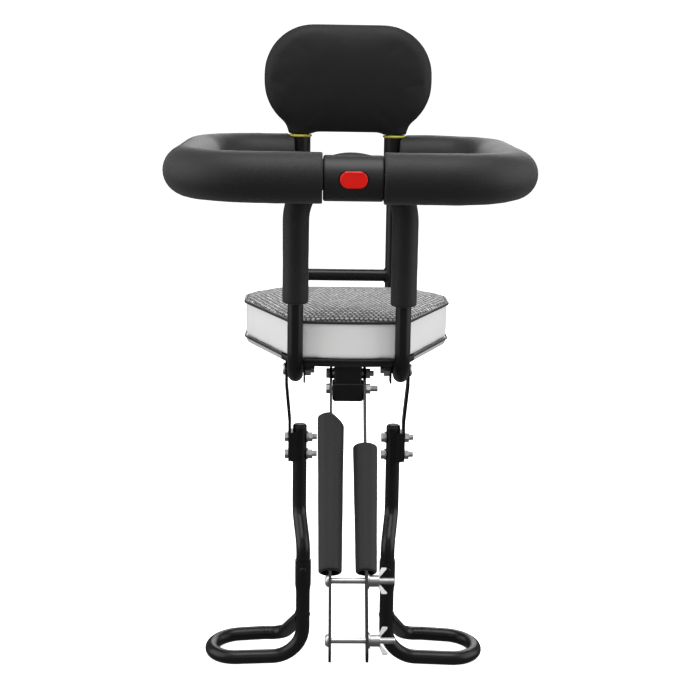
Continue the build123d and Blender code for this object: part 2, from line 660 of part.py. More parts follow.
    turn_x = LOOP_OUT_X - PEG_D / 2
    rear_y = foot_y + LOOP_WIDTH
    loop_path = bent_path(
        [
            (foot_x, foot_y, socket_low),
            (foot_x, foot_y, LOOP_Z),
            (turn_x, foot_y, LOOP_Z - LOOP_DIP),
            (turn_x, rear_y, LOOP_Z - LOOP_DIP),
            (LOOP_REAR_X, rear_y, LOOP_Z),
        ],
        [LOOP_BEND, LOOP_WIDTH / 2 - SNUG, LOOP_WIDTH / 2 - SNUG],
    )
    tail_path = bent_path(
        [(LOOP_REAR_X, rear_y, LOOP_Z), (LOOP_TAIL_X, rear_y, LOOP_Z), (foot_x, foot_y, LOOP_JOIN_Z)],
        [LOOP_TAIL_BEND],
    )
    loop = rod(loop_path, PEG_D) + rod(tail_path, PEG_D)
    loop += z_rod(socket_low, SOCKET_TOP_Z, foot_x, foot_y, socket_d)
    loop += Pos(foot_x, foot_y, socket_low - SOCKET_TAPER / 2) * Cone(PEG_D / 2, socket_d / 2, SOCKET_TAPER)
    loop -= z_rod(socket_low, SOCKET_TOP_Z + 1, foot_x, foot_y, PEG_D + 2 * SNUG)
    loop -= snap_hole
    save(mirrored(loop, side), f"{name}_foot_loop")
    snap = y_rod(snap_front, snap_back, foot_x, snap_z, SNAP_D)
    snap = fillet(snap.edges().sort_by(Axis.Y)[0], SNAP_PROUD - SNUG)
    save(mirrored(snap, side), f"{name}_snap_button")
save(Compound(children=pivot_bolts), "pivot_bolts")
save(Compound(children=pivot_nuts), "pivot_nuts")
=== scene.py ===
# %% [markdown]
# # A child's bike seat, dressed for its picture
#
# The steel, the plastic and the bolts come from the packed solids. This lesson adds
# what solids are poor at: soft foam, sewn covers, weave, screw threads and finishes.
# Everything is in metres, in the frame of the packed part, and each new piece rides
# on one of its bodies, so it moves when that body moves.

import json
import math

import bmesh
import bpy
from mathutils import Matrix, Vector, noise


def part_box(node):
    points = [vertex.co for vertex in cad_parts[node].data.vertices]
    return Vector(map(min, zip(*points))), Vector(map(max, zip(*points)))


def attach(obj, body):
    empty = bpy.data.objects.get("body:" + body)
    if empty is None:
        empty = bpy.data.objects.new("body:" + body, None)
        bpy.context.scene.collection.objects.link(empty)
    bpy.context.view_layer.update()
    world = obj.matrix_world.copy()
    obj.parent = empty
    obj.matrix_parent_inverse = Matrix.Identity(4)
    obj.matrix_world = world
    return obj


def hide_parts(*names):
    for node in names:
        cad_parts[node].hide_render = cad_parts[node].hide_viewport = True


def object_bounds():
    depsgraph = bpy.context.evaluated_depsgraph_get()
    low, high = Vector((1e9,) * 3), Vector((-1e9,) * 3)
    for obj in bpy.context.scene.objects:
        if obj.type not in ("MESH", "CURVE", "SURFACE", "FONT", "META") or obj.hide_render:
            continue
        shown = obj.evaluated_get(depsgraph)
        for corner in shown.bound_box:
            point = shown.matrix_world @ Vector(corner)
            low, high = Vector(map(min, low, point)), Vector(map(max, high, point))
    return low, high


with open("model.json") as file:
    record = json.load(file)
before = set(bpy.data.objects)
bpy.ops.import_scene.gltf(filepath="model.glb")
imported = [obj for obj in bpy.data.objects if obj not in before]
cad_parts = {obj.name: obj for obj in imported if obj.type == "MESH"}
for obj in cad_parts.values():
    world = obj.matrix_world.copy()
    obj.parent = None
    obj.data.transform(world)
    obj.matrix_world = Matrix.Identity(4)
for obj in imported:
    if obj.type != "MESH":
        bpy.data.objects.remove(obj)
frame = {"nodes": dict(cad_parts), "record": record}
cad_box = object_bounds()
nodes = frame["nodes"]
scene = bpy.context.scene
MM = 0.001
print("solids:", len(nodes), "size:", [round(v, 3) for v in cad_box[1] - cad_box[0]])

# %% [markdown]
# ## Camera
#
# The picture looks at the seat from its front, a little above the backrest. A camera
# could be placed by eye, but then near and far parts would not keep their proportion.
# The lens and place below come from matching the width of the ring in front, the
# spacing of the posts behind it and the slant of the foot loops. The camera was held
# just under a degree off level, so it is turned in three steps: round the upright,
# down, and round its own line of sight.

# %% Camera at the picture's angle
SENSOR_MM, LENS_MM = 36.0, 67.06
CAMERA_AT = (-0.0326, -1.2387, 0.5291)
YAW, LOOK_DOWN, ROLL = -1.407, 11.83, 0.863
camera = bpy.data.objects.new("camera", bpy.data.cameras.new("camera"))
camera.data.sensor_width = SENSOR_MM
camera.data.lens = LENS_MM
camera.location = CAMERA_AT
yaw = Matrix.Rotation(math.radians(YAW), 3, "Z")
pitch = Matrix.Rotation(math.radians(90 - LOOK_DOWN), 3, "X")
roll = Matrix.Rotation(math.radians(ROLL), 3, "Z")
camera.rotation_euler = (yaw @ pitch @ roll).to_euler()
scene.collection.objects.link(camera)
scene.camera = camera
print("camera:", [round(v, 3) for v in camera.location], "lens", camera.data.lens)

# %% [markdown]
# ## Finishes as Python expressions
#
# A finish is a small network of nodes. Wiring each node by hand hides the idea, so a
# `Signal` wraps one output socket and Python's operators on it add the Math nodes.
# `Finish.node` makes any other node: its settings first, then its sockets. Patterns
# read Object coordinates, which are metres here, so a weave keeps its real size.


# %% A socket that understands arithmetic
class Signal:
    """One output of a node. Operators on it add Math nodes to the same finish."""

    def __init__(self, finish, socket):
        self.finish = finish
        self.socket = socket

    def maths(self, operation, first, second=0.0):
        sockets = {0: first, 1: second}
        return self.finish.node("ShaderNodeMath", {"operation": operation}, sockets)

    def __add__(self, other):
        return self.maths("ADD", self, other)

    def __sub__(self, other):
        return self.maths("SUBTRACT", self, other)

    def __rsub__(self, other):
        return self.maths("SUBTRACT", other, self)

    def __mul__(self, other):
        return self.maths("MULTIPLY", self, other)

    def __pow__(self, other):
        return self.maths("POWER", self, other)

    def __gt__(self, other):
        return self.maths("GREATER_THAN", self, other)

    def __abs__(self):
        return self.maths("ABSOLUTE", self)

    def __floor__(self):
        return self.maths("FLOOR", self)

    def sine(self):
        return self.maths("SINE", self)

    __radd__ = __add__
    __rmul__ = __mul__


print("operators ready:", [name for name in vars(Signal) if name.startswith("__r")])


# %% A finish and its nodes
class Finish:
    """A material whose nodes end in one Principled shader."""

    made = {}

    def __init__(self, name, constants):
        self.material = bpy.data.materials.new(name)
        self.material.use_nodes = True
        self.tree = self.material.node_tree
        self.shader = self.tree.nodes["Principled BSDF"]
        self.place = self.node("ShaderNodeTexCoord", output="Object")
        self.feed(constants)
        Finish.made[name] = self

    def node(self, kind, settings=None, sockets=None, output=0):
        new = self.tree.nodes.new(kind)
        for key, value in (settings or {}).items():
            setattr(new, key, value)
        self.wire(new, sockets or {})
        return Signal(self, new.outputs[output])

    def wire(self, node, sockets):
        for key, value in sockets.items():
            if isinstance(value, Signal):
                self.tree.links.new(value.socket, node.inputs[key])
            else:
                node.inputs[key].default_value = value

    def feed(self, sockets):
        self.wire(self.shader, sockets)

    def grain(self, scale, detail=2.0):
        sockets = {"Vector": self.place, "Scale": scale, "Detail": detail}
        return self.node("ShaderNodeTexNoise", {}, sockets)

    def cells(self, scale):
        return self.node("ShaderNodeTexVoronoi", {}, {"Vector": self.place, "Scale": scale})

    def mix(self, share, first, second):
        sockets = {0: share, 6: first, 7: second}
        return self.node("ShaderNodeMix", {"data_type": "RGBA"}, sockets, 2)

    def axes(self):
        split = self.node("ShaderNodeSeparateXYZ", {}, {0: self.place})
        outputs = split.socket.node.outputs
        return [Signal(self, outputs[name]) for name in "XYZ"]

    def emboss(self, height, depth):
        sockets = {"Height": height, "Distance": depth}
        self.feed({"Normal": self.node("ShaderNodeBump", {}, sockets)})


def grey(level, warm=0.0):
    return (level * (1 + warm), level, level * (1 - warm), 1.0)


print("finish maker ready")

# %% [markdown]
# ## Black powder coat
#
# The tubes and straps are steel under black powder coat. The powder melts into a skin
# of low gloss with a faint orange peel about a millimetre across. A single dark colour
# would look like a silhouette, so slow noise varies colour and gloss, as real ovens do.

# %% Black powder coat
coat = Finish("black_powder_coat", {"Specular IOR Level": 0.26, "Coat Roughness": 0.3})
peel = coat.grain(900.0, 1.0)
haze = coat.grain(14.0, 3.0)
coat.feed({
    "Base Color": coat.mix(haze, grey(0.003), grey(0.006)),
    "Roughness": 0.26 + 0.16 * haze,
    "Coat Weight": 0.2 * haze,
})
coat.emboss(peel, 0.03 * MM)
print("coat:", len(coat.tree.nodes), "nodes")

# %% [markdown]
# ## Plastics and the seat board
#
# The clasp is moulded in a fine spark texture and its button is polished red. The seat
# board is black fibre between the rails and wrapped in white vinyl under the wings. The
# wrap is painted mid grey as painted shade, for the shade it lies in as it curls under,
# and the black is carried out to the front corners as painted shade beside the posts.
# The wrap could be a piece of its own, but it is only a skin, so a mask on the distance
# from the middle changes the colour instead.

# %% Moulded plastics
plastic = Finish("black_plastic", {"Specular IOR Level": 0.34})
spark = plastic.grain(2600.0, 3.0)
flow = plastic.grain(30.0, 2.0)
plastic.feed({
    "Base Color": plastic.mix(flow, grey(0.006), grey(0.011)),
    "Roughness": 0.40 + 0.14 * flow,
})
plastic.emboss(spark, 0.05 * MM)

red = Finish("red_plastic", {"Specular IOR Level": 0.5})
swirl = red.grain(60.0, 2.0)
red.feed({
    "Base Color": red.mix(swirl, (0.62, 0.005, 0.002, 1.0), (0.70, 0.008, 0.003, 1.0)),
    "Roughness": 0.12 + 0.10 * swirl,
})
red.emboss(red.grain(1400.0), 0.015 * MM)
print("plastics:", [f.material.name for f in (plastic, red)])

# %% Seat board
WRAP_X = 74.0 * MM
board = Finish("pan_board", {"Specular IOR Level": 0.3})
x = board.axes()[0]
stain = board.grain(45.0, 4.0)
# painted shade: the black inside WRAP_X is carried out to the front corners to paint the shade
# beside the posts
shaded_wrap_mask = abs(x) > WRAP_X
fibre = board.mix(stain, grey(0.004), grey(0.012))
# painted shade: the white vinyl wrap is painted mid grey for the shade it lies in under the
# wings
wrap_painted_shade = board.mix(stain, grey(0.44), grey(0.54))
board.feed({
    "Base Color": board.mix(shaded_wrap_mask, fibre, wrap_painted_shade),
    "Roughness": 0.55 + 0.20 * stain - 0.12 * shaded_wrap_mask,
})
board.emboss(board.grain(700.0, 4.0), 0.12 * MM)
print("board:", len(board.tree.nodes), "nodes")

# %% [markdown]
# ## Plated steel
#
# Bolts, nuts and washers are zinc plated: pale grey with a soft spangle. The wing nuts
# are bright steel, dulled by handling. Mirror-smooth metal would burn out to white
# under the soft boxes, so both are kept rough enough to show their roundness.

# %% Zinc and bright steel
zinc = Finish("zinc_steel", {"Metallic": 1.0})
spangle = zinc.cells(420.0)
smear = zinc.grain(90.0, 3.0)
zinc.feed({
    "Base Color": zinc.mix(smear, grey(0.44), grey(0.62)),
    "Roughness": 0.32 + 0.12 * smear + 0.06 * spangle,
})
zinc.emboss(zinc.grain(1800.0), 0.02 * MM)

chrome = Finish("bright_steel", {"Metallic": 1.0})
wipe = chrome.grain(160.0, 3.0)
chrome.feed({
    "Base Color": chrome.mix(wipe, grey(0.36), grey(0.46)),
    "Roughness": 0.38 + 0.12 * wipe,
})
chrome.emboss(chrome.grain(520.0), 0.03 * MM)
print("metals:", [f.material.name for f in (zinc, chrome)])

# %% [markdown]
# ## Foam tube
#
# The ring, the hoop and the arms wear closed-cell foam tube: nearly black, with cells
# under a millimetre and a faint bloom on top. The cells are too small for a mesh, so a
# Voronoi pattern raises them as bump.

# %% Foam
foam = Finish(
    "black_foam",
    {"Specular IOR Level": 0.3, "Sheen Weight": 0.08, "Sheen Roughness": 0.5},
)
bubbles = foam.cells(1100.0)
bloom = foam.grain(11.0, 3.0)
speck = foam.grain(700.0, 3.0)
foam.feed({
    "Base Color": foam.mix(bloom * 0.6 + speck * 0.4, grey(0.004), grey(0.012)),
    "Roughness": 0.46 + 0.20 * speck,
})
foam.emboss(bubbles + 0.6 * speck, 0.16 * MM)
print("foam:", len(foam.tree.nodes), "nodes")

# %% [markdown]
# ## Knit cover and its bound edge
#
# The backrest cover is a fine black knit, bound in yellow ribbed tape where it ends on
# the posts. Two crossed sine waves give the wales and courses of the knit at their real
# pitch, which no noise could.

# %% Knit cover and tape
cover = Finish(
    "cover_fabric",
    {"Specular IOR Level": 0.24, "Sheen Weight": 0.08, "Sheen Roughness": 0.4},
)
KNIT = 1.1 * MM
x, _, z = cover.axes()
wale = abs((x * (math.pi / KNIT)).sine())
course = abs((z * (math.pi / KNIT) + x * (0.5 * math.pi / KNIT)).sine())
fuzz = cover.grain(60.0, 4.0)
cover.feed({
    "Base Color": cover.mix(wale * course * 0.7 + fuzz * 0.3, grey(0.003), grey(0.009)),
    "Roughness": 0.50 + 0.16 * fuzz,
})
cover.emboss(wale * course, 0.10 * MM)

TAPE = 0.9 * MM
OLIVE, YELLOW = (0.30, 0.27, 0.03, 1), (0.58, 0.54, 0.10, 1)
binding = Finish("trim_binding", {"Specular IOR Level": 0.3})
x, y, _ = binding.axes()
rib = abs(((x + y) * (math.pi / TAPE)).sine())
fade = binding.grain(80.0, 3.0)
binding.feed({
    "Base Color": binding.mix(rib * 0.6 + fade * 0.4, OLIVE, YELLOW),
    "Roughness": 0.66 + 0.12 * fade,
})
binding.emboss(rib, 0.12 * MM)
print("covers:", [f.material.name for f in (cover, binding)])

# %% [markdown]
# ## Vinyl and weave of the cushion
#
# The cushion is a box of white grained vinyl with a top of grey open weave. One finish
# holds both, split at the height of the piping, because the sewn line there is sharper
# than any edge that a soft mesh could hold. The weave is laid like bricks: rows of pale
# dashes over dark gaps, each row shifted. Slow noise bends the rows, and a random value
# for each dash makes some threads paler than others.

# %% Weave signals
piping_low, piping_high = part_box("cushion_piping")
SEAM_Z = (piping_low.z + piping_high.z) / 2
ROW, DASH = 5.8 * MM, 5.2 * MM
ROW_SHIFT, ROW_DRIFT, DASH_DRIFT, PLIES = 0.42, 0.5, 0.9, 5
cushion_finish = Finish("cushion_fabric", {"Specular IOR Level": 0.4})
x, y, z = cushion_finish.axes()
wander = cushion_finish.grain(70.0, 2.0) - 0.5
row = math.floor(y * (1 / ROW) + wander * ROW_DRIFT)
across = x * (1 / DASH) + row * ROW_SHIFT + wander * DASH_DRIFT
rung = abs((y * (math.pi / ROW) + wander * (ROW_DRIFT * math.pi)).sine())
plump = abs((across * math.pi).sine()) ** 0.5 * rung ** 0.5
dash_at = cushion_finish.node("ShaderNodeCombineXYZ", {}, {0: math.floor(across), 1: row})
luck = cushion_finish.node("ShaderNodeTexWhiteNoise", {}, {"Vector": dash_at})
ply = abs((y * (PLIES * math.pi / ROW)).sine())
strands = plump ** 2.4 * (0.55 + 0.45 * luck) * (0.8 + 0.2 * ply)
print("weave: rows", round(ROW / MM, 1), "mm, dashes", round(DASH / MM, 1), "mm")

# %% Vinyl, and both in one finish
pores = cushion_finish.cells(900.0)
cloud = cushion_finish.grain(9.0, 3.0)
mesh_top = z > SEAM_Z
yarn = cushion_finish.mix(strands, grey(0.006), grey(0.78))
vinyl = cushion_finish.mix(cloud, grey(0.80, 0.004), grey(0.86, 0.004))
cushion_finish.feed({
    "Base Color": cushion_finish.mix(mesh_top, vinyl, yarn),
    "Roughness": 0.36 + 0.08 * cloud + mesh_top * (0.24 + 0.1 * luck),
})
cushion_finish.emboss(mesh_top * plump * 8.0 + (1.0 - mesh_top) * pores, 0.10 * MM)

vinyl_cord = Finish("piping_vinyl", {"Specular IOR Level": 0.45})
scuff = vinyl_cord.grain(200.0, 3.0)
vinyl_cord.feed({
    "Base Color": vinyl_cord.mix(scuff, grey(0.008), grey(0.030)),
    "Roughness": 0.38 + 0.2 * scuff,
})
vinyl_cord.emboss(vinyl_cord.cells(1300.0), 0.06 * MM)
print("cushion finish:", len(cushion_finish.tree.nodes), "nodes")

# %% [markdown]
# ## Steel and plastic as packed
#
# The solids that are hard on the real seat keep their packed shape. Each one only
# changes its coat: the record says which slot it belongs to, and the slot's name is
# the finish's name. Nothing is moved.

# %% Coat the packed solids
slot_of = {part["node"]: part["material_slot"] for part in frame["record"]["subparts"]}
for name, node in nodes.items():
    node.data.materials.clear()
    node.data.materials.append(Finish.made[slot_of[name]].material)
print("coated:", {slot: list(slot_of.values()).count(slot) for slot in Finish.made})

# %% [markdown]
# ## A tube drawn along a bend
#
# Foam tube is pushed over steel tube and follows its bends. A curve with a round bevel
# would give the run, but not a soft cut end with a lip and a bore. So a `Route` knows
# where it is at any distance, and `tube` hangs a ring of points at each station. The
# same routine makes the foam, the sleeves, the piping, the bound edges and the welds.

# %% Routes
HAIR, SAME_SPOT = 1e-9, 1e-6


class Route:
    """A path with one sideways direction, which gives a ring of points at any distance."""

    def __init__(self, points, normal):
        self.points = [Vector(p) for p in points]
        self.normal = Vector(normal).normalized()
        self.marks = [0.0]
        for a, b in zip(self.points, self.points[1:]):
            self.marks.append(self.marks[-1] + (b - a).length)
        self.length = self.marks[-1]
        loop = (self.points[0] - self.points[-1]).length < MM
        before = [self.points[-2] if loop else self.points[0]] + self.points[:-1]
        after = self.points[1:] + [self.points[1] if loop else self.points[-1]]
        self.headings = [(b - a).normalized() for a, b in zip(before, after)]

    def at(self, distance):
        d = min(max(distance, 0.0), self.length)
        i = next(k for k in range(1, len(self.marks)) if self.marks[k] >= d - HAIR)
        share = (d - self.marks[i - 1]) / (self.marks[i] - self.marks[i - 1])
        point = self.points[i - 1].lerp(self.points[i], share)
        return point, self.headings[i - 1].lerp(self.headings[i], share).normalized()

    def ring(self, distance, radius, sides):
        point, heading = self.at(distance)
        side = heading.cross(self.normal).normalized()
        turns = (2 * math.pi * k / sides for k in range(sides))
        return [
            point + radius * (math.cos(t) * side + math.sin(t) * self.normal) for t in turns
        ]


def bent(corners, bends, step=3 * MM):
    """Straight runs with an arc of the given radius at each inner corner."""
    corners = [Vector(c) for c in corners]
    points = [corners[0]]
    for before, corner, after, bend in zip(corners, corners[1:], corners[2:], bends):
        back, on = (before - corner).normalized(), (after - corner).normalized()
        half = back.angle(on) / 2
        centre = corner + (back + on).normalized() * (bend / math.sin(half))
        spoke = corner + back * (bend / math.tan(half)) - centre
        sweep = math.pi - 2 * half
        count = max(3, round(sweep * bend / step))
        axis = on.cross(back)
        for k in range(count + 1):
            points.append(centre + Matrix.Rotation(sweep * k / count, 3, axis) @ spoke)
    points.append(corners[-1])
    return [
        p for i, p in enumerate(points) if i == 0 or (p - points[i - 1]).length > SAME_SPOT
    ]


print("route maker ready")


# %% Meshes from rings of points
def bridge(bm, rings, closed=False):
    """Faces between each ring of points and the next."""
    pairs = list(zip(rings, rings[1:])) + ([(rings[-1], rings[0])] if closed else [])
    for a, b in pairs:
        for k in range(len(a)):
            bm.faces.new((a[k - 1], a[k], b[k], b[k - 1]))


def mesh_of(bm, name):
    bmesh.ops.recalc_face_normals(bm, faces=bm.faces)
    mesh = bpy.data.meshes.new(name)
    bm.to_mesh(mesh)
    bm.free()
    return mesh


def placed(name, mesh, finish):
    piece = bpy.data.objects.new(name, mesh)
    scene.collection.objects.link(piece)
    mesh.materials.clear()
    mesh.materials.append(finish.material)
    mesh.shade_smooth()
    return piece


def shown(name, mesh, finish):
    return placed(name, mesh, finish)


print("mesh maker ready")

# %% Tubes
WAVE, RIPPLE = 22, 70


def tube(name, route, stations, finish, sides=36, closed=False, uneven=0.0):
    """A skin of rings, each at a distance along the route with its own radius."""
    bm = bmesh.new()
    rings = []
    for distance, radius in stations:
        spot = route.at(distance)[0]
        drift = noise.noise(spot * WAVE) + 0.5 * noise.noise(spot * RIPPLE)
        ring = route.ring(distance, radius * (1 + uneven * drift), sides)
        rings.append([bm.verts.new(p) for p in ring])
    bridge(bm, rings, closed)
    if not closed:
        bm.faces.new(rings[0])
        bm.faces.new(rings[-1])
    return shown(name, mesh_of(bm, name), finish)


print("tube maker ready")

# %% [markdown]
# ## Cut ends of foam tube
#
# A cut foam tube has a flat end with a soft lip, and the bore shows as a dark circle
# round the steel. The stations below start down in the bore, come out over the lip and
# run along the outside. A little noise in the radius takes away the machined look. A
# cloth solver would add nothing here: the foam is stiff and keeps its round shape.

# %% Stations of a cut foam tube
END_FACE = (0.1, 0.3, 0.5, 0.7, 0.85)
LIP_TURN = [math.radians(a) for a in (0, 25, 50, 70, 90)]
BORE_GRIP, FOAM_UNEVEN = 0.96, 0.02


def foam_stations(length, radius, bore, deep=6 * MM, lip=2.5 * MM, step=4 * MM, recess=None):
    """recess, a radius and a depth, lets the far end close over a flange on the tube."""

    def end(r, recess=None):
        mouth = [(deep, bore * BORE_GRIP), (lip * 0.5, bore)]
        inner = bore
        if recess:
            inner, sunk = recess
            mouth = [(deep, bore * BORE_GRIP), (sunk, bore), (sunk, inner)]
        mouth += [(0.0, inner + (r - lip - inner) * s) for s in END_FACE]
        curl = [(lip * (1 - math.cos(q)), r - lip + lip * math.sin(q)) for q in LIP_TURN]
        return mouth + curl

    runs = max(2, round((length - 2 * lip) / step))
    body = [lip + (length - 2 * lip) * k / runs for k in range(1, runs)]
    return (
        end(radius(0.0))
        + [(d, radius(d / length)) for d in body]
        + [(length - d, r) for d, r in reversed(end(radius(1.0), recess))]
    )


def foam_piece(name, node, body, route, radius, bore, **shape):
    stations = foam_stations(route.length, radius, bore, **shape)
    piece = tube(name, route, stations, foam, uneven=FOAM_UNEVEN)
    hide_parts(node)
    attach(piece, body)
    print(name, "length", round(route.length, 3), "faces", len(piece.data.polygons))
    return piece


print("foam maker ready")

# %% [markdown]
# ## Foam of the ring
#
# Each half of the ring runs from a back post round to the clasp. On the real seat the
# foam is hollowed by hand where it meets the post. A boolean would leave a ragged edge
# there, so the points near the end are slid along the tube until they clear the hinge
# sleeve. At the clasp the foam closes over a flange.

# %% Left and right ring foam
RING_Z, RING_BACK_Z, RING_R, RING_BORE = 428.0 * MM, 434.0 * MM, 26.25 * MM, 8.8 * MM
RING_X, RING_FRONT, RING_BACK = 174.75 * MM, 96.3 * MM, 381.3 * MM
RING_BENDS = (70 * MM, 76 * MM)
POST_X, MOUTH_X, SADDLE_R, SADDLE_END = 58.0 * MM, 64.0 * MM, 15.2 * MM, 88.0 * MM
SEAM_GAP, FLANGE_R, FLANGE_DEEP = 0.5 * MM, 15.4 * MM, 2.5 * MM


def hollow_end(piece, sign):
    """Hollow the end at the back post, so that the foam hugs the hinge sleeve."""
    for vertex in piece.data.vertices:
        reach, off = sign * vertex.co.x, vertex.co.y - RING_BACK
        if abs(off) < SADDLE_R and reach < SADDLE_END:
            start = max(MOUTH_X, POST_X + math.sqrt(SADDLE_R**2 - off**2))
            share = (reach - MOUTH_X) / (SADDLE_END - MOUTH_X)
            vertex.co.x = sign * (start + share * (SADDLE_END - start))


clasp_low, clasp_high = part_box("clasp_body")
for side, sign, front_end in (("left", -1, -clasp_low.x), ("right", 1, clasp_high.x)):
    corners = [
        (sign * MOUTH_X, RING_BACK, RING_BACK_Z),
        (sign * RING_X, RING_BACK, RING_BACK_Z),
        (sign * RING_X, RING_FRONT, RING_Z),
        (sign * (front_end + SEAM_GAP), RING_FRONT, RING_Z),
    ]
    route = Route(bent(corners, RING_BENDS), (0, 0, 1))
    piece = foam_piece(
        f"{side}_ring_foam", f"{side}_rail_foam", f"{side}_rail", route,
        lambda share: RING_R, RING_BORE, deep=18 * MM, lip=1.4 * MM, step=3 * MM,
        recess=(FLANGE_R, FLANGE_DEEP),
    )
    hollow_end(piece, sign)

# %% [markdown]
# ## Foam of the grab hoop
#
# Behind the ring the front posts meet in a hoop, and one long foam tube covers it almost
# down to the seat. Its two ends are not quite level, as cut foam seldom is. The bend is a
# hair tighter than half the span, so that its two arcs never overlap.

# %% Hoop grip
HOOP_Y, HOOP_TOP, HOOP_R, HOOP_BORE = 139.3 * MM, 437.8 * MM, 14.0 * MM, 9.0 * MM
HOOP_LEFT_END, HOOP_RIGHT_END, HOOP_BEND = 291.2 * MM, 289.3 * MM, POST_X * 0.999
corners = [
    (-POST_X, HOOP_Y, HOOP_LEFT_END),
    (-POST_X, HOOP_Y, HOOP_TOP),
    (POST_X, HOOP_Y, HOOP_TOP),
    (POST_X, HOOP_Y, HOOP_RIGHT_END),
]
foam_piece(
    "hoop_grip", "hoop_foam", "seat",
    Route(bent(corners, (HOOP_BEND, HOOP_BEND)), (0, 1, 0)),
    lambda share: HOOP_R, HOOP_BORE,
)

# %% [markdown]
# ## Foam sleeves on the clamp arms
#
# The two flat arms lean forward under the seat, each in a foam sleeve that narrows
# towards its foot. The left sleeve is the longer one and its top is cut at a slant. The
# slant is made by pushing points near the top down the arm, more the further out they
# are, which keeps the lip that a cutting plane would lose.

# %% Left and right arm grips
LEAN, ARM_X, SLEEVE_FOOT = math.radians(40.0), 18.6 * MM, 39.5 * MM
TAPER, SLEEVE_BORE = 0.84, 0.62
SLANT_LONG, SLANT_DEEP = 26 * MM, 11 * MM
arm = Vector((0, math.sin(LEAN), math.cos(LEAN)))
for side, sign, top, radius in (
    ("left", -1, 216.0 * MM, 14.5 * MM),
    ("right", 1, 181.0 * MM, 13.25 * MM),
):
    foot = Vector((sign * ARM_X, 0, 0))
    route = Route([foot + arm * SLEEVE_FOOT, foot + arm * top], (1, 0, 0))
    piece = foam_piece(
        f"{side}_arm_grip", f"{side}_arm_sleeve", "seat", route,
        lambda share, r=radius: r * (TAPER + (1 - TAPER) * share),
        radius * SLEEVE_BORE, deep=14 * MM, lip=2 * MM,
    )
    if side == "left":
        for vertex in piece.data.vertices:
            near = ((vertex.co - foot).dot(arm) - (top - SLANT_LONG)) / SLANT_LONG
            out = (vertex.co.x - foot.x) / radius
            vertex.co -= arm * max(0.0, near) * max(0.0, out) * SLANT_DEEP

# %% [markdown]
# ## Padded pieces
#
# The cushion and the backrest are foam in a sewn cover, so they swell where nothing
# holds them. They could be sculpted by hand, but cloth pressure finds the same shape
# by itself: give the soft solid an even skin with a voxel remesh, take it a little
# smaller, then let the cloth solver blow it up for a few frames with no gravity. Points
# on seams and where the piece rests are pinned. A cap on the travel keeps the swelling
# inside the space that the solid holds.


# %% An even skin
def even_skin(rough, voxel, shrink, rounds, still=None, dome=0):
    """An even mesh of a rough one. After the first rounds of smoothing come dome more,
    which leave the points alone where still(point) is true and round off the rest."""
    copy = bpy.data.objects.new("skin", rough)
    scene.collection.objects.link(copy)
    remesh = copy.modifiers.new("even", "REMESH")
    remesh.mode = "VOXEL"
    remesh.voxel_size = voxel
    depsgraph = bpy.context.evaluated_depsgraph_get()
    mesh = bpy.data.meshes.new_from_object(copy.evaluated_get(depsgraph))
    bpy.data.objects.remove(copy)
    bm = bmesh.new()
    bm.from_mesh(mesh)
    for number in range(rounds + dome):
        loose = [v for v in bm.verts if number < rounds or not still(v.co)]
        bmesh.ops.smooth_vert(
            bm, verts=loose, factor=0.5, use_axis_x=True, use_axis_y=True, use_axis_z=True
        )
    bm.normal_update()
    for vertex in bm.verts:
        vertex.co -= vertex.normal * shrink
    bm.to_mesh(mesh)
    bm.free()
    return mesh


print("skin maker ready")

# %% Swelling by cloth pressure
SWELL_FRAMES, SWELL_QUALITY, COVER_STIFFNESS, PRESSURE = 20, 6, 25.0, 4.0


def blown_up(piece, start, held):
    """Where the cloth solver takes each point of the piece."""
    group = piece.vertex_groups.new(name="sewn")
    group.add([i for i, p in enumerate(start) if held(p)], 1.0, "REPLACE")
    cloth = piece.modifiers.new("swell", "CLOTH")
    cloth.settings.vertex_group_mass = "sewn"
    cloth.settings.use_pressure = True
    cloth.settings.uniform_pressure_force = PRESSURE
    cloth.settings.effector_weights.gravity = 0.0
    cloth.settings.tension_stiffness = COVER_STIFFNESS
    cloth.settings.compression_stiffness = COVER_STIFFNESS
    cloth.settings.quality = SWELL_QUALITY
    cloth.point_cache.frame_end = SWELL_FRAMES
    for number in range(1, SWELL_FRAMES + 1):
        scene.frame_set(number)
    depsgraph = bpy.context.evaluated_depsgraph_get()
    end = [v.co.copy() for v in piece.evaluated_get(depsgraph).data.vertices]
    piece.modifiers.remove(cloth)
    scene.frame_set(1)
    return end


def swell(piece, cap, held):
    """Blow the piece up by cap at most; held(point) is true where it is sewn down."""
    start = [v.co.copy() for v in piece.data.vertices]
    end = blown_up(piece, start, held)
    moved = 0.0
    for vertex, a, b in zip(piece.data.vertices, start, end):
        step = b - a
        if held(a):
            step *= 0.0
        if step.length > cap:
            step *= cap / step.length
        vertex.co = a + step
        moved = max(moved, step.length)
    piece.data.update()
    smoother = piece.modifiers.new("smoother", "SUBSURF")
    smoother.levels = smoother.render_levels = 1
    print(piece.name, "points", len(start), "largest swell mm", round(moved / MM, 2))


print("cloth recipe ready")

# %% [markdown]
# ## The seat cushion
#
# A flat box cushion: the weave on top bulges most, the vinyl band a little. It is held
# along the piped seam and at the bottom, where the cover is fixed to the seat board.

# %% The seat cushion
CUSHION_VOXEL, CUSHION_SHRINK, CUSHION_CAP = 4.5 * MM, 0.6 * MM, 4.5 * MM
FIXED, STITCHED = 5 * MM, 2.5 * MM
pan_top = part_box("seat_cushion")[0].z


def sewn_cushion(p):
    return p.z < pan_top + FIXED or abs(p.z - SEAM_Z) < STITCHED


skin = even_skin(nodes["seat_cushion"].data.copy(), CUSHION_VOXEL, CUSHION_SHRINK, 2)
cushion = shown("cushion", skin, cushion_finish)
swell(cushion, CUSHION_CAP, sewn_cushion)
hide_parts("seat_cushion")
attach(cushion, "seat")
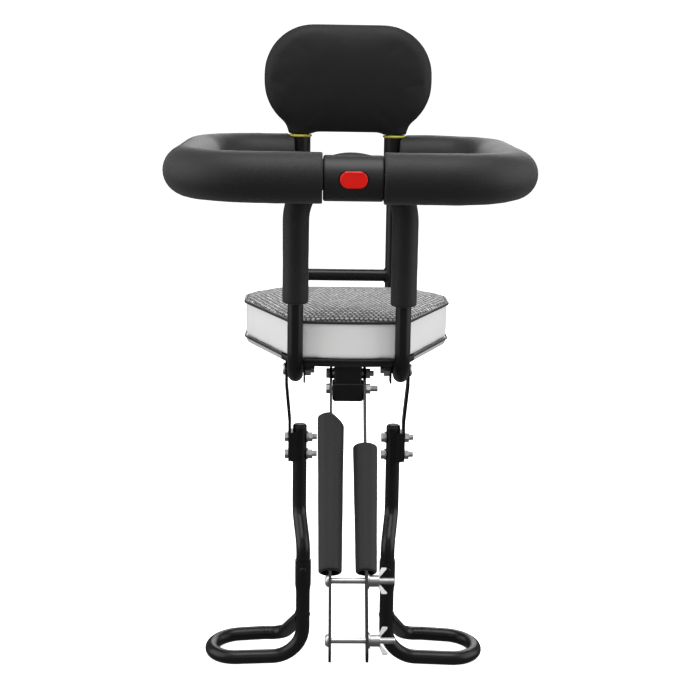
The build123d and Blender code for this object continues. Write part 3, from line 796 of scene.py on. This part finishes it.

# %% [markdown]
# ## Piping and hem
#
# A dark cord is sewn into the top seam, and a thinner dark cord runs round the bottom
# edge, just above the seat board. Both follow the plan of the cushion: a bowed front,
# slanting sides, blunt wings and a short back. The plan could be traced from the soft
# mesh, but the sewn line is true to the pattern and the mesh is not, so the corners of
# the pattern are used.

# %% Piping and hem round the cushion
NOSE, WING, TAIL, BOW = 63.0 * MM, 119.5 * MM, 84.0 * MM, 5.0 * MM
FRONT, WING_FRONT, WING_BACK, BACK = 152.0 * MM, 278.0 * MM, 326.0 * MM, 368.5 * MM
BOW_BEND, NOSE_BEND, WING_BEND = 40 * MM, 12 * MM, 26 * MM
PIPING_R, HEM_R, HEM_UP, CORD_STEP = 1.7 * MM, 1.2 * MM, 0.6 * MM, 3 * MM
half_plan = [(NOSE * s, FRONT - BOW * (1 - s * s)) for s in (0.25, 0.5, 0.75, 1.0)]
half_plan += [(WING, WING_FRONT), (WING, WING_BACK), (TAIL, BACK)]
nose = [(0.0, FRONT - BOW)]
plan = nose + half_plan + [(-x, y) for x, y in reversed(half_plan)] + nose
bends = [BOW_BEND] * 3 + [NOSE_BEND] + [WING_BEND] * 3


def round_cushion(name, height, radius):
    corners = [(x, y, height) for x, y in plan]
    route = Route(bent(corners, bends + bends[::-1]), (0, 0, 1))
    count = round(route.length / CORD_STEP)
    stations = [(route.length * k / count, radius) for k in range(count)]
    cord = tube(name, route, stations, vinyl_cord, sides=12, closed=True)
    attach(cord, "seat")
    print(name, "length", round(route.length, 3), "faces", len(cord.data.polygons))
    return cord


piping = round_cushion("piping", SEAM_Z, PIPING_R)
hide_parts("cushion_piping")
round_cushion("cushion_hem", pan_top + HEM_UP, HEM_R)

# %% [markdown]
# ## The backrest pad
#
# A round-ended pad with a sewn cover that ends in two collars on the back posts. The
# packed pad is hollow for the frame inside, and a voxel remesh would find that hollow.
# So the skin starts from the convex hull of the pad and two flared collars. The rim
# keeps its outline while both faces are domed and blown up.

# %% Hull of the pad and its collars
PAD_BOTTOM, HULL_REACH = 462.5 * MM, 0.1 * MM
COLLAR_RISE, COLLAR_LOW_R, COLLAR_HIGH_R = 20.0 * MM, 14.6 * MM, 20.0 * MM
pad_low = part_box("backrest_pad")[0]
bm = bmesh.new()
for vertex in nodes["backrest_pad"].data.vertices:
    if vertex.co.z > PAD_BOTTOM - HULL_REACH:
        bm.verts.new(vertex.co)
hull = bmesh.ops.convex_hull(bm, input=bm.verts)
bmesh.ops.delete(bm, geom=hull["geom_interior"], context="VERTS")
for sign in (-1, 1):
    high = PAD_BOTTOM + COLLAR_RISE
    middle = Vector((sign * POST_X, RING_BACK, (pad_low.z + high) / 2))
    bmesh.ops.create_cone(
        bm, cap_ends=True, segments=40, radius1=COLLAR_LOW_R, radius2=COLLAR_HIGH_R,
        depth=high - pad_low.z, matrix=Matrix.Translation(middle),
    )
rough = bpy.data.meshes.new("pad_and_collars")
bm.to_mesh(rough)
bm.free()
print("pad hull points:", len(rough.vertices))

# %% The backrest pad
PAD_VOXEL, PAD_SHRINK, PAD_CAP, PAD_DOME = 4.0 * MM, 0.3 * MM, 4 * MM, 30
RIM, SEWN = 9 * MM, 6 * MM


def on_rim(p):
    return p.z < pad_low.z + SEWN or abs(p.y - RING_BACK) < RIM


skin = even_skin(rough, PAD_VOXEL, PAD_SHRINK, 2, on_rim, PAD_DOME)
backrest = shown("backrest", skin, cover)
swell(backrest, PAD_CAP, on_rim)
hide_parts("backrest_pad")
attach(backrest, "seat")

# %% [markdown]
# ## Bound edges
#
# Each collar of the cover ends in a roll of ribbed tape round its post. A torus would
# do for the roll, but not for the ribs, so it is a closed tube whose every second ring
# is a little fatter.

# %% Bound edges where the cover ends on the posts
TRIM_R, TRIM_RINGS, TRIM_RIB, CIRCLE_STEPS = 13.2 * MM, 96, 0.07, 64
trim_low, trim_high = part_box("cover_trims")
TRIM_ROLL = (trim_high.z - trim_low.z) / 2
for side, sign in (("left", -1), ("right", 1)):
    centre = Vector((sign * POST_X, RING_BACK, (trim_low.z + trim_high.z) / 2))
    turns = [2 * math.pi * k / CIRCLE_STEPS for k in range(CIRCLE_STEPS + 1)]
    circle = [centre + TRIM_R * Vector((math.cos(t), math.sin(t), 0)) for t in turns]
    route = Route(circle, (0, 0, 1))
    stations = [
        (route.length * k / TRIM_RINGS, TRIM_ROLL * (1.0 + TRIM_RIB * (k % 2)))
        for k in range(TRIM_RINGS)
    ]
    bound = tube(f"{side}_bound_edge", route, stations, binding, 12, True)
    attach(bound, "seat")
    if side == "left":
        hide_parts("cover_trims")
print("bound edges roll mm:", round(TRIM_ROLL / MM, 2))

# %% [markdown]
# ## Screw threads
#
# Each bolt shows a few turns of thread past its nut, too fine for the packed solids. A
# bump pattern would vanish at the outline of the bolt, so the thread is a sharp ridge
# wound round the shank, with a row of three points at each step.

# %% A wound ridge
STEPS_PER_TURN, RIDGE_HALF, RIDGE_HIGH, RIDGE_SUNK = 20, 0.45, 0.28, 0.98
body_of = {
    node: body
    for body, members in frame["record"]["behaviour"]["bodies"].items()
    for node in members
}


def thread(name, node, start, stop, radius, pitch):
    """A ridge wound round a shank along X, between two points on its axis."""
    bm = bmesh.new()
    count = round(STEPS_PER_TURN * (stop - start).length / pitch)
    half = Vector((RIDGE_HALF * pitch, 0, 0))
    rows = []
    for k in range(count + 1):
        turn = 2 * math.pi * k / STEPS_PER_TURN
        out = Vector((0, math.cos(turn), math.sin(turn)))
        spot = start.lerp(stop, k / count)
        root, crest = out * radius * RIDGE_SUNK, out * (radius + RIDGE_HIGH * pitch)
        ridge = (spot - half + root, spot + crest, spot + half + root)
        rows.append([bm.verts.new(p) for p in ridge])
    bridge(bm, rows)
    bm.faces.new(rows[0])
    bm.faces.new(rows[-1])
    piece = shown(name, mesh_of(bm, name), zinc)
    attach(piece, body_of[node])


print("bodies:", sorted(set(body_of.values())))

# %% Threads on the bolts
M6_R, M6_PITCH, M8_R, M8_PITCH, LEAD = 3.0 * MM, 1.0 * MM, 4.0 * MM, 1.25 * MM, 0.7 * MM
WING_HUB, PEG_Y, PEG_BOLT_IN = 10.3 * MM, 190 * MM, 5 * MM
PIVOT_NUT, PIVOT_TAIL = 6.5 * MM, 4 * MM
hub_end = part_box("clamp_washers")[1].x + WING_HUB
nut_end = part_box("bracket_nuts")[1].x
tails = [("upper_clamp_bolt", hub_end), ("lower_clamp_bolt", hub_end)]
tails += [("tilt_bolt", nut_end), ("lock_bolt", nut_end)]
for node, begins in tails:
    low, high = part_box(node)
    axis = (low + high) / 2
    ends = [Vector((x, axis.y, axis.z)) for x in (begins + LEAD, high.x - LEAD)]
    thread(f"{node}_thread", node, ends[0], ends[1], M6_R, M6_PITCH)
for side in ("left", "right"):
    node = f"{side}_peg_bolts"
    low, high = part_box(node)
    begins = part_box(f"{side}_peg_nuts")[1].x
    for place, z in (("upper", high.z - PEG_BOLT_IN), ("lower", low.z + PEG_BOLT_IN)):
        ends = [Vector((x, PEG_Y, z)) for x in (begins + LEAD, high.x - LEAD)]
        thread(f"{side}_{place}_peg_thread", node, ends[0], ends[1], M6_R, M6_PITCH)
low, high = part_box("pivot_nuts")
for side, sign in (("left", -1), ("right", 1)):
    inner, axis_z = high.x - PIVOT_NUT, (low.z + high.z) / 2
    reach = (inner - LEAD, inner - PIVOT_TAIL + LEAD)
    ends = [Vector((sign * x, PEG_Y, axis_z)) for x in reach]
    thread(f"{side}_pivot_thread", "pivot_bolts", ends[0], ends[1], M8_R, M8_PITCH)

# %% [markdown]
# ## Weld beads
#
# Where a bar is welded to an upright tube, the weld is a rippled bead along the line
# where the two rounds meet. That line could be found by cutting one mesh with the
# other, but it also follows from the two radii, which is exact and quick: go out along
# the bar from each point of its rim until the distance from the post is its radius.

# %% Weld beads
WELD_STEPS, BEAD_R, BEAD_RIPPLE, BEAD_STEP, BEAD_UNEVEN = 48, 1.35 * MM, 0.2 * MM, 0.9 * MM, 0.1
BAR_R, POST_R, PEG_R, CROSSBAR_Z = 7.5 * MM, 8.5 * MM, 8.0 * MM, 286 * MM
LOOP_X, LOOP_Y, LOOP_Z, LOOP_AWAY = 47.8 * MM, 160 * MM, -74 * MM, (23.7, 62, -49.5)


def weld(name, node, joint, away, radius, post_radius):
    """A bead where a round bar that leaves joint along away meets an upright post."""
    joint, away = Vector(joint), Vector(away).normalized()
    first = away.cross((0, 0, 1)).normalized()
    second = away.cross(first)
    flat = away.xy
    line = []
    for k in range(WELD_STEPS + 1):
        t = 2 * math.pi * k / WELD_STEPS
        rim = radius * (math.cos(t) * first + math.sin(t) * second)
        a, b, c = flat.dot(flat), flat.dot(rim.xy), rim.xy.dot(rim.xy) - post_radius**2
        line.append(joint + rim + away * ((math.sqrt(max(0.0, b * b - a * c)) - b) / a))
    route = Route(line, away)
    count = round(route.length / BEAD_STEP)
    stations = [
        (route.length * k / count, BEAD_R + BEAD_RIPPLE * (k % 3 == 0)) for k in range(count)
    ]
    bead = tube(name, route, stations, coat, 10, True, BEAD_UNEVEN)
    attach(bead, body_of[node])
    print(name, "length", round(route.length, 4))


for side, sign in (("left", -1), ("right", 1)):
    weld(
        f"{side}_crossbar_weld", "back_crossbar",
        (sign * POST_X, RING_BACK, CROSSBAR_Z), (-sign, 0, 0), BAR_R, POST_R,
    )
    weld(
        f"{side}_loop_weld", f"{side}_foot_loop", (sign * LOOP_X, LOOP_Y, LOOP_Z),
        (sign * LOOP_AWAY[0], LOOP_AWAY[1], LOOP_AWAY[2]), PEG_R, PEG_R,
    )

# %% [markdown]
# ## Paper bowl
#
# The picture is cut out on white. A flat floor would end in a horizon when the seat is
# seen from another side, so a pale floor curls up all round, like a paper bowl. Gloss
# black would mirror that bowl and turn grey, so it is left out of reflections and the
# soft boxes of the next step make the highlights.

# %% Paper bowl
FLOOR_R, CURL_R, WALL_TOP, AROUND = 6.0, 3.0, 6.0, 72
FLOOR_RINGS = (0.02, 0.6, 1.5, 3.0, FLOOR_R)
MIDDLE = Vector((0.0, 0.25, 0.25))
paper = Finish(
    "studio_paper",
    {"Roughness": 0.9, "Specular IOR Level": 0.0, "Emission Strength": 0.95},
)
tone = paper.grain(0.6, 1.0)
paper.feed({
    "Base Color": paper.mix(tone, grey(0.86), grey(0.88)),
    "Emission Color": grey(1.0),
})
profile = [(reach, 0.0) for reach in FLOOR_RINGS]
for degrees in range(10, 91, 10):
    a = math.radians(degrees)
    profile.append((FLOOR_R + CURL_R * math.sin(a), CURL_R * (1 - math.cos(a))))
profile.append((FLOOR_R + CURL_R, WALL_TOP))
floor_z = cad_box[0].z - 1.0 * MM
bm = bmesh.new()
rings = []
for reach, height in profile:
    turns = [2 * math.pi * k / AROUND for k in range(AROUND)]
    spots = [(reach * math.cos(t), MIDDLE.y + reach * math.sin(t)) for t in turns]
    rings.append([bm.verts.new((x, y, floor_z + height)) for x, y in spots])
bm.faces.new(rings[0])
bridge(bm, rings)
bowl = placed("paper_bowl", mesh_of(bm, "paper_bowl"), paper)
bowl.visible_glossy = False
bowl.visible_diffuse = False
print("floor at", round(floor_z, 4))

# %% [markdown]
# ## Soft boxes
#
# The light comes from large soft boxes above and on both sides: the tops of the foam
# are palest, and the white vinyl is brightest at its sides and a step darker in front.
# Small lamps would draw hard streaks along every black tube, so the boxes are wide. A
# weak one under the seat stands for light thrown back by the floor.


# %% Soft boxes
def soft_box(name, place, width, height, watts, mirrored=True):
    light = bpy.data.lights.new(name, "AREA")
    light.shape = "RECTANGLE"
    light.size, light.size_y, light.energy = width, height, watts
    lamp = bpy.data.objects.new(name, light)
    lamp.location = place
    lamp.rotation_euler = (MIDDLE - Vector(place)).to_track_quat("-Z", "Y").to_euler()
    lamp.visible_camera = False
    lamp.visible_glossy = mirrored
    scene.collection.objects.link(lamp)
    print(name, watts, "W")


soft_box("top_box", (0.0, -0.25, 2.4), 1.8, 1.8, 60.0)
soft_box("left_box", (-2.0, -0.1, 0.9), 2.4, 2.2, 36.0)
soft_box("right_box", (2.0, -0.1, 0.9), 2.4, 2.2, 36.0)
soft_box("front_box", (-0.4, -2.6, 1.3), 1.6, 1.2, 5.0)
soft_box("back_box", (0.3, 2.6, 1.2), 1.8, 1.4, 26.0)
soft_box("floor_bounce", (0.0, 0.1, floor_z + 20 * MM), 2.4, 2.4, 9.0, mirrored=False)

# %% Dim surroundings and plain tones
AMBIENT = 0.15
world = bpy.data.worlds.new("studio")
world.use_nodes = True
backdrop = world.node_tree.nodes["Background"].inputs
backdrop["Color"].default_value = grey(1.0)
backdrop["Strength"].default_value = AMBIENT
scene.world = world
scene.view_settings.view_transform = "Standard"
scene.view_settings.look = "None"
print("surroundings:", AMBIENT, "view:", scene.view_settings.view_transform)
